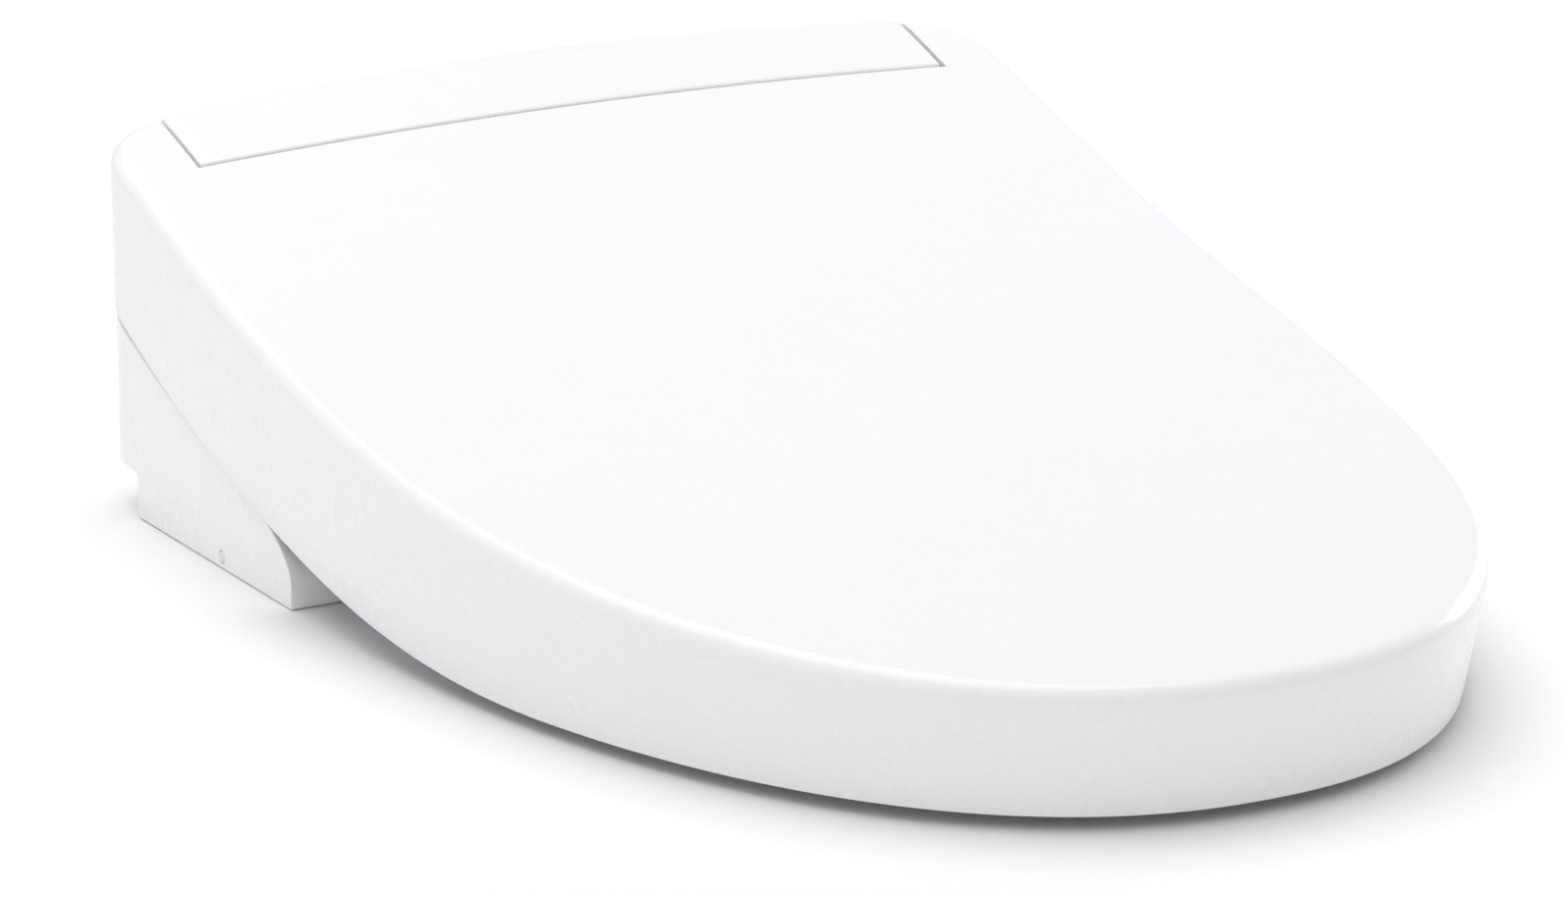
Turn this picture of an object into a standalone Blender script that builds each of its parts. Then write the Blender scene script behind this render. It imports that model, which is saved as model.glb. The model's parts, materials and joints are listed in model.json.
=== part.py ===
"""Electric bidet seat: body on its mounting plate, heated seat and lid on one hinge line, and
the water, air and control parts inside the body.

Frame: +Z up, front of the seat towards -Y, origin midway between the two bowl bolts on the
plane of the bowl's rim. Lengths below are in millimetres; add() turns them into metres."""

import math

import bmesh
import bpy
from mathutils import Vector

MM = 0.001
GAP = 0.3  # between pieces that touch

# Overall size
WIDTH = 383.0
DEPTH = 531.0
REAR_Y = 75.0  # rearmost point, behind the bolts

# Lid outline: a superellipse in front of its widest place, tapering a little behind it
WIDEST_D = 198.0  # distance of the widest place from the rear
NOSE_POWER = 2.19
REAR_TAPER = 5.1
CORNER_R = 28.0

# Lid top surface: heights of a cubic Bezier from rear to nose, and its fall towards the sides
RIDGE = (150.0, 72.7, 62.2, 51.2)
SIDE_FALL = 5.0
REAR_FALL = 7.5
FALL_FADE = 0.04
EDGE_R = 6.0
REAR_EDGE_R = 4.0
LID_WALL = 3.0

# Lid hem: low and level in front, rising as a parabola to the rear
HEM_FRONT = 4.5
HEM_REAR = 84.0
HEM_RISE_D = 334.0
NOSE_DRAFT = 8.5  # how far the hem is tucked in at the nose
REAR_DRAFT = 0.3

# Hinge line
HINGE_Y = 64.0
HINGE_Z = 121.0
PIN_R = 3.0
HUB_R = 4.7  # lid's plate
HORN_HUB_R = 6.5
BUSH_R = 4.3
RUN_GAP = 0.5  # between a turning hub and what is beside it

# Fixed top panel between the lid's ears
PANEL_HALF = 157.7
PANEL_D = 36.0
PANEL_WALL = 3.0
PANEL_GAP = 1.6
PANEL_DEPTH = 9.0  # front edge of the panel
COVER_REAR_Z = 129.0  # top of the body's cover, under the panel's rear wall

# Body
BODY_INSET = 4.6  # body side inside the lid's widest place
BODY_HALF = WIDTH / 2 - BODY_INSET
BODY_FRONT_Y = -92.0
BODY_STEP_Y = 37.4
STEP_Z = 17.0
CHAMFER_Y = 7.0
CHAMFER_Z = 30.0
CASE_WALL = 2.8
FLOOR_Z = 3.0  # underside of the case floor over the mounting plate
HEM_GAP = 1.5  # lid hem to body side

# Seat
SEAT_INSET = 8.5  # lid skirt outside to seat outside
SEAT_LIFT = 1.5  # seat underside above the lid's hem
SEAT_DEPTH = 27.0
SEAT_BACK_Y = -99.0
SEAT_WALL = 3.0
BUMPER_R = 7.0
BUMPER_GAP = 1.1
BUMPER_FRONT = 48.0  # nose to the front bumpers
BUMPER_SIDE = 49.5  # widest side of the lid to the rear bumpers
OPENING_HALF = 105.0
OPENING_FRONT = 61.0  # nose to the front of the opening
OPENING_FRONT_Y = REAR_Y - DEPTH + OPENING_FRONT
OPENING_BACK_Y = -150.0
HORN_IN = PANEL_HALF + RUN_GAP
HORN_OUT = HORN_IN + 7.6
LID_PLATE_IN = HORN_OUT + RUN_GAP
LID_PLATE_OUT = LID_PLATE_IN + 4.0

# Spray wand, on a line sloping down to the front through the gate in the body's front
WAND_SLOPE = math.radians(21.0)
WAND_R = 6.0
WAND_LENGTH = 83.0
WAND_TIP_Y = -10.0
WAND_GATE_Z = 18.0  # height of the wand's line at the body's front
GATE_Y = -86.5
GATE_Z = 30.0
GATE_LENGTH = 19.0
GATE_WALL = 1.8
PIVOT_R = 1.4
GATE_HALF = 15.0
HUMP_INSET = 3.7  # side of the body's cover inside the end of the top panel
HUMP_HALF = PANEL_HALF - HUMP_INSET
FRONT_LIP_Z = 10.0
DECK_DROP = 7.0  # deck under the seat's horns, below the hem
PINION_R = 8.0
BOLT_HALF = 70.0

# Dryer outlet and seat sensor window in the front cover
DRYER_X = 52.0
DRYER_HALF = 20.0
WINDOW_X = 96.0
WINDOW_Y = -10.0
WINDOW_R = 9.0

COLORS = {
    "white_gloss": ((0.90, 0.90, 0.91), 0.18, 0.0),
    "white_matte": ((0.82, 0.82, 0.83), 0.45, 0.0),
    "grey_plastic": ((0.42, 0.43, 0.45), 0.5, 0.0),
    "dark_plastic": ((0.06, 0.06, 0.07), 0.5, 0.0),
    "steel": ((0.62, 0.62, 0.63), 0.3, 1.0),
    "brass": ((0.72, 0.56, 0.28), 0.35, 1.0),
    "rubber": ((0.05, 0.05, 0.05), 0.8, 0.0),
    "board_green": ((0.05, 0.22, 0.10), 0.5, 0.0),
    "heater_foil": ((0.75, 0.75, 0.76), 0.4, 1.0),
    "smoke_window": ((0.10, 0.10, 0.12), 0.1, 0.0),
}


# ---------------------------------------------------------------- helpers

def clear_scene():
    for obj in list(bpy.data.objects):
        bpy.data.objects.remove(obj)


def material(slot):
    found = bpy.data.materials.get(slot)
    if found:
        return found
    color, roughness, metallic = COLORS[slot]
    made = bpy.data.materials.new(slot)
    made.use_nodes = True
    shader = made.node_tree.nodes["Principled BSDF"]
    shader.inputs["Base Color"].default_value = (*color, 1.0)
    shader.inputs["Roughness"].default_value = roughness
    shader.inputs["Metallic"].default_value = metallic
    return made


def axis_empty(name, place, turn=(0.0, 0.0, 0.0)):
    """An empty on a joint's axis, which carries the pieces that turn or slide there."""
    empty = bpy.data.objects.new(name, None)
    empty.location = Vector(place) * MM
    empty.rotation_euler = turn
    bpy.context.scene.collection.objects.link(empty)
    bpy.context.view_layer.update()
    return empty


def mesh_of(name, bm):
    bmesh.ops.recalc_face_normals(bm, faces=bm.faces)
    if bm.calc_volume(signed=True) < 0:
        bmesh.ops.reverse_faces(bm, faces=bm.faces)
    mesh = bpy.data.meshes.new(name)
    bm.to_mesh(mesh)
    bm.free()
    return mesh


def add(name, bm, slot, parent=None):
    """Make an object from a mesh drawn in the object's frame, in mm; the origin is the parent's."""
    matrix = parent.matrix_world.inverted() if parent else None
    bmesh.ops.scale(bm, vec=(MM, MM, MM), verts=bm.verts)
    if matrix:
        bmesh.ops.transform(bm, matrix=matrix, verts=bm.verts)
    mesh = mesh_of(name, bm)
    mesh.materials.append(material(slot))
    mesh.shade_smooth()
    mesh.set_sharp_from_angle(angle=math.radians(32))
    obj = bpy.data.objects.new(name, mesh)
    bpy.context.scene.collection.objects.link(obj)
    obj.parent = parent
    return obj


def boolean(obj, bm, operation="DIFFERENCE"):
    """Cut a shape from an object, or join one to it, and keep the cutter out of sight."""
    cutter = add(f"cutter_{len(bpy.data.objects)}", bm, "grey_plastic")
    cutter.hide_render = True
    cutter.display_type = "WIRE"
    modifier = obj.modifiers.new(f"{operation.lower()}_{len(obj.modifiers)}", "BOOLEAN")
    modifier.operation = operation
    modifier.solver = "EXACT"
    modifier.object = cutter
    return obj


def loft(rings, cap_start=True, cap_end=True):
    """Join rings of equally many points by quads; a ring of one point makes a fan."""
    bm = bmesh.new()
    rows = [[bm.verts.new(point) for point in ring] for ring in rings]
    for first, second in zip(rows, rows[1:]):
        count = max(len(first), len(second))
        for i in range(count):
            j = (i + 1) % count
            corners = [
                first[i % len(first)], first[j % len(first)],
                second[j % len(second)], second[i % len(second)],
            ]
            bm.faces.new(list(dict.fromkeys(corners)))
    if cap_start and len(rows[0]) > 2:
        bm.faces.new(rows[0][::-1])
    if cap_end and len(rows[-1]) > 2:
        bm.faces.new(rows[-1])
    return bm


def prism(outline, low, high, axis="X"):
    """An outline of two coordinates, extruded along the third axis."""
    place = {
        "X": lambda a, b, t: (t, a, b),
        "Y": lambda a, b, t: (a, t, b),
        "Z": lambda a, b, t: (a, b, t),
    }[axis]
    return loft([[place(a, b, t) for a, b in outline] for t in (low, high)])


def box(center, size, bevel=0.0):
    (x, y, z), (a, b, c) = center, size
    side = [(y - b / 2, z - c / 2), (y + b / 2, z - c / 2), (y + b / 2, z + c / 2), (y - b / 2, z + c / 2)]
    bm = prism(side, x - a / 2, x + a / 2)
    if bevel:
        bmesh.ops.bevel(bm, geom=bm.edges[:], offset=bevel, segments=1, affect="EDGES")
    return bm


def circle(radius, count, start=0.0):
    step = 2 * math.pi / count
    return [(radius * math.cos(start + i * step), radius * math.sin(start + i * step)) for i in range(count)]


def lathe(base, direction, profile, count=16):
    """Turn (distance along, radius) points about a line; a radius of 0 closes an end."""
    direction = Vector(direction).normalized()
    side = direction.cross(Vector((0, 0, 1)) if abs(direction.z) < 0.9 else Vector((1, 0, 0))).normalized()
    other = direction.cross(side)
    rings = []
    for along, radius in profile:
        middle = Vector(base) + direction * along
        if radius == 0:
            rings.append([middle])
        else:
            rings.append([middle + side * a + other * b for a, b in circle(radius, count)])
    return loft(rings)


def rod(start, direction, radius, length, sides=16):
    """A plain cylinder from a start point."""
    return lathe(start, direction, [(0, 0), (0, radius), (length, radius), (length, 0)], sides)


def ring_lathe(base, direction, length, outer, inner, count=16):
    """A plain tube or washer: closed, with a bore right through."""
    direction = Vector(direction).normalized()
    side = direction.cross(Vector((0, 0, 1)) if abs(direction.z) < 0.9 else Vector((1, 0, 0))).normalized()
    other = direction.cross(side)
    rings = []
    for along, radius in ((0, inner), (0, outer), (length, outer), (length, inner), (0, inner)):
        middle = Vector(base) + direction * along
        rings.append([middle + side * a + other * b for a, b in circle(radius, count)])
    bm = loft(rings, cap_start=False, cap_end=False)
    bmesh.ops.remove_doubles(bm, verts=bm.verts, dist=1e-5)
    return bm


def half_width(d):
    """Half the lid's width at a distance d from the rear."""
    if d >= WIDEST_D:
        share = min(1.0, (d - WIDEST_D) / (DEPTH - WIDEST_D))
        return WIDTH / 2 * (1 - share**NOSE_POWER) ** (1 / NOSE_POWER)
    return WIDTH / 2 - REAR_TAPER * ((WIDEST_D - d) / WIDEST_D) ** 2


def hem_height(y):
    rise = max(0.0, 1 - (REAR_Y - y) / HEM_RISE_D)
    return HEM_FRONT + (HEM_REAR - HEM_FRONT) * rise**2


def top_height(x, y):
    """Height of the lid's outer surface and of the fixed panel that carries it on."""
    s = min(1.0, max(0.0, (REAR_Y - y) / DEPTH))
    a, b, c, d = RIDGE
    ridge = a * (1 - s) ** 3 + 3 * b * s * (1 - s) ** 2 + 3 * c * s * s * (1 - s) + d * s**3
    fall = SIDE_FALL + REAR_FALL * math.exp(-s / FALL_FADE)
    return ridge - fall * (x / (WIDTH / 2)) ** 2


def outline_half(nose_points=22, side_points=7):
    """The lid's plan outline on the +X side, from the rear middle to the nose."""
    corner_x = half_width(CORNER_R) - CORNER_R
    corner_y = REAR_Y - CORNER_R
    points = [(corner_x * i / 4, REAR_Y) for i in range(4)]
    for i in range(6):
        angle = math.pi / 2 * (1 - i / 5)
        points.append((corner_x + CORNER_R * math.cos(angle), corner_y + CORNER_R * math.sin(angle)))
    first_d = REAR_Y - corner_y
    for i in range(1, side_points + 1):
        d = first_d + (WIDEST_D - first_d) * i / side_points
        points.append((half_width(d), REAR_Y - d))
    for i in range(1, nose_points + 1):
        d = WIDEST_D + (DEPTH - WIDEST_D) * math.sin(math.pi / 2 * i / nose_points)
        points.append((half_width(d), REAR_Y - d))
    return points


def lid_outline():
    right = outline_half()
    return right + [(-x, y) for x, y in right[-2:0:-1]]


def inset(points, amount):
    """Move a closed plan outline, clockwise from above, inwards; amount is a number or a function of y."""
    moved = []
    for i, (x, y) in enumerate(points):
        (ax, ay), (bx, by) = points[i - 1], points[(i + 1) % len(points)]
        length = math.hypot(bx - ax, by - ay)
        distance = amount(y) if callable(amount) else amount
        moved.append((x + distance * (by - ay) / length, y - distance * (bx - ax) / length))
    return moved


def scaled(points, share, center_y):
    return [(x * share, center_y + (y - center_y) * share) for x, y in points]


# ---------------------------------------------------------------- lid

def skirt_draft(y):
    """How far the hem is tucked in under the lid's edge."""
    s = (REAR_Y - y) / DEPTH
    return REAR_DRAFT + (NOSE_DRAFT - REAR_DRAFT) * s


def lid_rings(outline, wall):
    """Rings from the hem up over the edge to the middle of the top, moved inwards by a wall."""
    middle_y = REAR_Y - WIDEST_D
    rings = [[(x, y, hem_height(y)) for x, y in inset(outline, lambda y: skirt_draft(y) + wall)]]
    radius = EDGE_R - wall if EDGE_R > wall + 1 else 1.0
    for turn in (0, 30, 60, 90):
        angle = math.radians(turn)
        moved = inset(outline, wall + radius * (1 - math.cos(angle)))
        drop = wall + radius * (1 - math.sin(angle))
        rings.append([(x, y, top_height(x, y) - drop) for x, y in moved])
    inner = [(x, y) for x, y, _ in rings[-1]]
    for share in (0.86, 0.66, 0.4):
        ring = scaled(inner, share, middle_y)
        rings.append([(x, y, top_height(x, y) - wall) for x, y in ring])
    rings.append([(0.0, middle_y, top_height(0.0, middle_y) - wall)])
    return rings


def edge_swing(x):
    """Radius about the hinge line of the lid's rear edge beside the fixed panel."""
    y = REAR_Y - PANEL_D - PANEL_GAP
    return math.hypot(y - HINGE_Y, top_height(x, y) - HINGE_Z)


def lid_shell(axis):
    outline = lid_outline()
    outside = lid_rings(outline, 0.0)[::-1]
    inside = lid_rings(outline, LID_WALL)
    shell = add("lid_shell", loft(outside + inside), "white_gloss", axis)
    half = PANEL_HALF + PANEL_GAP
    swing = [
        [(x, HINGE_Y + a * edge_swing(x), HINGE_Z + b * edge_swing(x)) for a, b in circle(1.0, 40)]
        for x in (-half, -half / 2, 0.0, half / 2, half)
    ]
    boolean(shell, loft(swing))
    low, high = 40.0, 200.0
    front = REAR_Y - PANEL_D - 0.4 * PANEL_GAP
    notch = [(front, low), (REAR_Y + 20, low), (REAR_Y + 20, high), (front, high)]
    boolean(shell, prism(notch, 0.02 - half, half - 0.02))
    hub_top = HINGE_Z + HORN_HUB_R + RUN_GAP
    hub_back = HINGE_Y + HORN_HUB_R
    arm_room = [(hub_back, low), (REAR_Y + 20, low), (REAR_Y + 20, hub_top), (hub_back, hub_top)]
    boolean(shell, prism(arm_room, -HORN_OUT - RUN_GAP, HORN_OUT + RUN_GAP))
    return shell


def lid_hinge_bracket(side, name, axis):
    """Plate inside the lid's ear that turns on the end of the hinge pin."""
    low, high = sorted((side * LID_PLATE_IN, side * LID_PLATE_OUT))
    profile = [
        (HINGE_Y + HUB_R * math.cos(math.radians(a)), HINGE_Z + HUB_R * math.sin(math.radians(a)))
        for a in range(-130, 71, 20)
    ]
    for back in (16, 28, 40):
        under_top = top_height(LID_PLATE_OUT, HINGE_Y - back) - LID_WALL - 1.2
        profile.append((HINGE_Y - back, under_top))
    profile += [(HINGE_Y - 42, HINGE_Z - 17.0)]
    bracket = add(name, prism(profile, low, high), "white_matte", axis)
    bore = [(0, 0), (0, PIN_R + GAP), (10, PIN_R + GAP), (10, 0)]
    return boolean(bracket, lathe((side * (LID_PLATE_IN - 2), HINGE_Y, HINGE_Z), (side, 0, 0), bore))


# ---------------------------------------------------------------- body

def case_top(drop):
    """Side profile of the case's top, front to rear, at a drop below the lid's hem."""
    stations = [-72.0 + i * (REAR_Y + 1 + 72.0) / 8 for i in range(9)]
    return [(y, hem_height(y) - drop) for y in stations]


def lower_case():
    center_x, center_y = BODY_HALF - CORNER_R, REAR_Y - GAP - CORNER_R
    corner = [
        (center_x + CORNER_R * math.cos(math.radians(a)), center_y + CORNER_R * math.sin(math.radians(a)))
        for a in (90, 72, 54, 36, 18, 0)
    ]
    right = corner + [(BODY_HALF, BODY_FRONT_Y)]
    plan = right + [(-x, y) for x, y in right[::-1]]
    case = add("lower_case", prism(plan, 0.0, 100.0, "Z"), "white_gloss")
    lip = [(BODY_FRONT_Y - 5, FRONT_LIP_Z), (BODY_FRONT_Y + 0.01, FRONT_LIP_Z)]
    lip += [(BODY_FRONT_Y + in_y, FRONT_LIP_Z + up) for in_y, up in ((1.5, 3.5), (5.0, 8.0), (11.0, 12.5))]
    above = lip + case_top(HEM_GAP) + [(REAR_Y + 1, 120), (BODY_FRONT_Y - 5, 120)]
    boolean(case, prism(above, -200, 200))
    step = [
        (BODY_STEP_Y, -1), (BODY_STEP_Y, STEP_Z - 2), (BODY_STEP_Y + 2, STEP_Z),
        (REAR_Y - CHAMFER_Y, STEP_Z + 1), (REAR_Y + 0.5, CHAMFER_Z), (REAR_Y + 5, CHAMFER_Z), (REAR_Y + 5, -1),
    ]
    boolean(case, prism(step, -200, 200))
    side = HUMP_HALF + CASE_WALL + GAP
    for sign in (-1, 1):
        deck = case_top(DECK_DROP)
        end = REAR_Y - CASE_WALL - 1
        channel = [(-84.0, 30.0), (-84.0, 19.0)] + deck[:-1] + [(end, deck[-1][1]), (end, 120.0), (-84.0, 120.0)]
        low, high = sorted((sign * side, sign * (BODY_HALF - CASE_WALL)))
        boolean(case, prism(channel, low, high))
        pocket_end = BODY_STEP_Y - CASE_WALL
        under = [point for point in case_top(DECK_DROP + CASE_WALL) if point[0] < pocket_end - 2]
        pocket = [(BODY_FRONT_Y + CASE_WALL, -1), (BODY_FRONT_Y + CASE_WALL, 6.0)]
        pocket += under + [(pocket_end, under[-1][1] + 2.0), (pocket_end, -1)]
        boolean(case, prism(pocket, low, high))
    floor = FLOOR_Z + CASE_WALL
    inside = [
        (BODY_FRONT_Y + CASE_WALL, floor), (BODY_STEP_Y - 4, floor), (BODY_STEP_Y - 4, STEP_Z + 4),
        (REAR_Y - 12, STEP_Z + 5), (REAR_Y - GAP - CASE_WALL, CHAMFER_Z + 6),
        (REAR_Y - GAP - CASE_WALL, 120), (BODY_FRONT_Y + CASE_WALL, 120),
    ]
    boolean(case, prism(inside, -HUMP_HALF - GAP, HUMP_HALF + GAP))
    first, last = BODY_FRONT_Y + CASE_WALL + 2, BODY_STEP_Y - CASE_WALL - 2
    under = [(first, -1), (last, -1), (last, FLOOR_Z), (first, FLOOR_Z)]
    boolean(case, prism(under, -HUMP_HALF + 1, HUMP_HALF - 1))
    return case


def hump_profile(wall):
    """Side outline of the body's front cover, moved inwards by a wall."""
    front = BODY_FRONT_Y + CASE_WALL + GAP + wall
    low = FRONT_LIP_Z + GAP
    panel_front = REAR_Y - PANEL_D
    return [
        (front, low), (front, 33.0 - wall * 0.6), (front + 12, 52.0 - wall), (-50.0, 70.0 - wall),
        (panel_front - 2, 114.0 - wall), (panel_front + 8 + wall * 0.4, 119.5 - wall),
        (REAR_Y - 1.5 - wall, COVER_REAR_Z - wall), (REAR_Y - 1.5 - wall, low),
    ]


def upper_case():
    cover = add("upper_case", prism(hump_profile(0.0), -HUMP_HALF, HUMP_HALF), "white_gloss")
    below = [(BODY_FRONT_Y + 10, -5)] + [(-81.0, 21.0)] + case_top(HEM_GAP - GAP) + [(REAR_Y + 5, -5)]
    hollow = hump_profile(CASE_WALL)
    hollow[0] = (hollow[0][0], -20.0)
    hollow[-1] = (hollow[-1][0], -20.0)
    boolean(cover, prism(hollow, -HUMP_HALF + CASE_WALL, HUMP_HALF - CASE_WALL))
    boolean(cover, prism(below, -HUMP_HALF - 5, HUMP_HALF + 5))
    low, high = GATE_Z - GATE_LENGTH - 1.5, GATE_Z + GATE_WALL + 0.6
    window = box((0, GATE_Y, (low + high) / 2), (2 * GATE_HALF + 1.2, 16, high - low))
    boolean(cover, window)
    dryer = box((DRYER_X, GATE_Y, GATE_Z - 8.5), (DRYER_HALF * 2 + 1.2, 16, 20))
    boolean(cover, dryer)
    for sign in (-1, 1):
        bore = rod((sign * (HUMP_HALF - 10), HINGE_Y, HINGE_Z), (sign, 0, 0), PIN_R + GAP, 20)
        boolean(cover, bore)
    return cover


def hump_top(y):
    profile = hump_profile(0.0)
    for (ay, az), (by, bz) in zip(profile, profile[1:]):
        if ay <= y <= by and by > ay:
            return az + (bz - az) * (y - ay) / (by - ay)
    return profile[0][1]


def rear_top_panel():
    front = REAR_Y - PANEL_D
    stations = [PANEL_HALF * (i / 4 - 1) for i in range(9)]

    def section(x, wall, depth):
        y0, y1 = front + wall, REAR_Y - wall
        radius = REAR_EDGE_R - wall * 0.8
        points = [(x, y0, top_height(x, front) - depth), (x, y0, top_height(x, y0) - wall - 1.2)]
        points += [(x, y0 + 1.2, top_height(x, y0 + 1.2) - wall)]
        for share in (0.35, 0.7):
            y = y0 + (y1 - y0) * share
            points.append((x, y, top_height(x, y) - wall))
        for turn in (90, 60, 30, 0):
            y = y1 - radius + radius * math.cos(math.radians(turn))
            drop = radius * (1 - math.sin(math.radians(turn)))
            points.append((x, y, top_height(x, y1 - radius) + (REAR_EDGE_R - wall) * 0.1 - wall - drop))
        points.append((x, y1, COVER_REAR_Z + GAP + PANEL_DEPTH - depth))
        return points

    panel = add("rear_top_panel", loft([section(x, 0.0, PANEL_DEPTH) for x in stations]), "white_gloss")
    inner = [(x * (1 - PANEL_WALL / PANEL_HALF)) for x in stations]
    boolean(panel, loft([section(x, PANEL_WALL, PANEL_DEPTH + 5) for x in inner]))
    return panel


def mounting_plate():
    plate = add("mounting_plate", box((0, 1.5, 1.3), (230, 60, 2.6), 0.6), "steel")
    for sign in (-1, 1):
        slot = box((sign * BOLT_HALF, 0, 2), (11.0, 24.0, 10.0))
        boolean(plate, slot)
    return plate


# ---------------------------------------------------------------- seat

OPENING_MIDDLE_Y = (OPENING_FRONT_Y + OPENING_BACK_Y) / 2
OPENING_DEPTH_HALF = (OPENING_BACK_Y - OPENING_FRONT_Y) / 2


def seat_outline(shrink=0.0):
    """Clockwise plan outline of the seat ring with a straight back edge."""
    whole = outline_half(30, 9) + [(-0.5, REAR_Y - DEPTH)]
    full = inset(whole, lambda y: SEAT_INSET + shrink + skirt_draft(y))[:-1]
    sides = [(x, y) for x, y in full if y < SEAT_BACK_Y - 22]
    sides[-1] = (0.0, sides[-1][1])
    corner_r = 16.0
    corner_x = sides[0][0] - corner_r
    corner_y = SEAT_BACK_Y - shrink - corner_r
    right = [(corner_x * i / 4, SEAT_BACK_Y - shrink) for i in range(4)]
    for turn in (90, 60, 30, 0):
        angle = math.radians(turn)
        right.append((corner_x + corner_r * math.cos(angle), corner_y + corner_r * math.sin(angle)))
    right += sides
    return right + [(-x, y) for x, y in right[-2:0:-1]]


def opening_point(x, y, grow):
    """The point of the seat's opening that lies in the direction of an outline point."""
    angle = math.atan2((y - OPENING_MIDDLE_Y) / 175.0, x / 180.0)
    across, along = math.cos(angle), math.sin(angle)
    power = 2 / 2.3
    px = (OPENING_HALF + grow) * math.copysign(abs(across) ** power, across)
    py = (OPENING_DEPTH_HALF + grow) * math.copysign(abs(along) ** power, along)
    return px, OPENING_MIDDLE_Y + py


def seat_underside(y):
    return hem_height(y) + SEAT_LIFT


def ring_loft(section):
    """Sweep a closed section, given between an outer and an inner plan point, round the seat."""
    sections = []
    for outer in seat_outline():
        inner = opening_point(*outer, 0.0)
        span = math.dist(outer, inner)
        points = []
        for share, offset, height in section:
            t = share + offset / span
            x = outer[0] + (inner[0] - outer[0]) * t
            y = outer[1] + (inner[1] - outer[1]) * t
            points.append((x, y, seat_underside(y) + height))
        sections.append(points)
    return loft(sections + sections[:1], cap_start=False, cap_end=False)


def joined_ring(section):
    bm = ring_loft(section)
    bmesh.ops.remove_doubles(bm, verts=bm.verts, dist=1e-4)
    return bm


def seat_top(axis):
    top, wall = SEAT_DEPTH, SEAT_WALL
    section = [
        (0, 0.0, 0.0), (0, 0.0, top - 9.0), (0, 2.5, top - 3.2), (0, 9.0, top), (0.4, 0.0, top + 0.5),
        (1, -16.0, top - 3.5), (1, -5.0, top - 7.5), (1, 0.0, top - 13.0), (1, 0.0, 2.0), (1, -wall, 2.0),
        (1, -wall - 1.0, top - 13.0), (1, -16.0, top - 3.5 - wall), (0.4, 0.0, top - wall),
        (0, 9.0, top - wall - 0.5),
        (0, wall + 1.0, top - 9.0), (0, wall, 0.0),
    ]
    seat = add("seat_top", joined_ring(section), "white_gloss", axis)
    for sign in (-1, 1):
        low, high = sorted((sign * HORN_IN, sign * HORN_OUT))
        turns = [math.radians(turn) for turn in range(-75, 106, 20)]
        arc = [(HINGE_Y + HORN_HUB_R * math.cos(a), HINGE_Z + HORN_HUB_R * math.sin(a)) for a in turns]
        back_z = seat_underside(SEAT_BACK_Y)
        arc += [
            (SEAT_BACK_Y + 5.3, back_z + SEAT_DEPTH - 2.6), (SEAT_BACK_Y - 10.7, back_z + SEAT_DEPTH - 4.3),
            (SEAT_BACK_Y - 10.7, back_z + 4.4), (SEAT_BACK_Y + 5.3, back_z + 6.1),
        ]
        boolean(seat, prism(arc, low, high), "UNION")
        bore = rod((sign * (HORN_IN - 2), HINGE_Y, HINGE_Z), (sign, 0, 0), BUSH_R + GAP, 12)
        boolean(seat, bore)
    boolean(seat, wand_arch())
    return seat


def wand_arch():
    return box((0, SEAT_BACK_Y - 14, 20), (2 * GATE_HALF + 20, 40, 34))


def seat_bottom(axis):
    inner = SEAT_WALL + GAP
    section = [(0, inner, 0.2), (0, inner, 2.4), (1, -inner, 2.4), (1, -inner, 0.2)]
    plate = add("seat_bottom", joined_ring(section), "white_matte", axis)
    boolean(plate, wand_arch())
    for sign in (-1, 1):
        middle = sign * (HORN_IN + HORN_OUT) / 2
        clear = box((middle, SEAT_BACK_Y - 5, 40), (HORN_OUT - HORN_IN + 2 * GAP, 16, 80))
        boolean(plate, clear)
    return plate


def seat_heater(axis):
    high = SEAT_DEPTH - SEAT_WALL - 1.2
    section = [
        (0, 15.0, high - 0.9), (0, 15.0, high - 0.1), (0.4, 0.0, high + 0.2),
        (1, -19.0, high - 3.4), (1, -19.0, high - 4.2), (0.4, 0.0, high - 0.7),
    ]
    heater = add("seat_heater", joined_ring(section), "heater_foil", axis)
    boolean(heater, box((0, SEAT_BACK_Y - 20, 30), (2 * GATE_HALF + 24, 70, 60)))
    return heater


def seat_bumper(name, x, y, axis):
    top = seat_underside(y) - BUMPER_GAP
    profile = [(0, 0), (0, BUMPER_R - 1), (1.0, BUMPER_R), (top, BUMPER_R), (top, 0)]
    return add(name, lathe((x, y, 0), (0, 0, 1), profile, 14), "rubber", axis)


def hinge_pin(name, sign):
    start = HUMP_HALF - 3.4
    end = LID_PLATE_OUT + 1.0
    return add(name, rod((sign * start, HINGE_Y, HINGE_Z), (sign, 0, 0), PIN_R, end - start), "steel")


def hinge_bush(name, sign, axis):
    start = (sign * (HORN_IN + 0.2), HINGE_Y, HINGE_Z)
    ring = ring_lathe(start, (sign, 0, 0), HORN_OUT - HORN_IN - 0.4, BUSH_R, PIN_R + GAP)
    return add(name, ring, "grey_plastic", axis)


def damper(name, sign):
    end = HUMP_HALF - CASE_WALL - 0.6
    profile = [(0, 0), (0, 7.0), (2, 9.5), (26, 9.5), (26, 5.0), (30, 5.0), (30, 0)]
    turned = lathe((sign * (end - 30), HINGE_Y - 4, HINGE_Z - 12), (sign, 0, 0), profile)
    return add(name, turned, "dark_plastic")


# ---------------------------------------------------------------- spray wand

def wand_line(y):
    return WAND_GATE_Z + (y - BODY_FRONT_Y) * math.tan(WAND_SLOPE)


def wand_direction():
    return Vector((0, -math.cos(WAND_SLOPE), -math.sin(WAND_SLOPE)))


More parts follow.
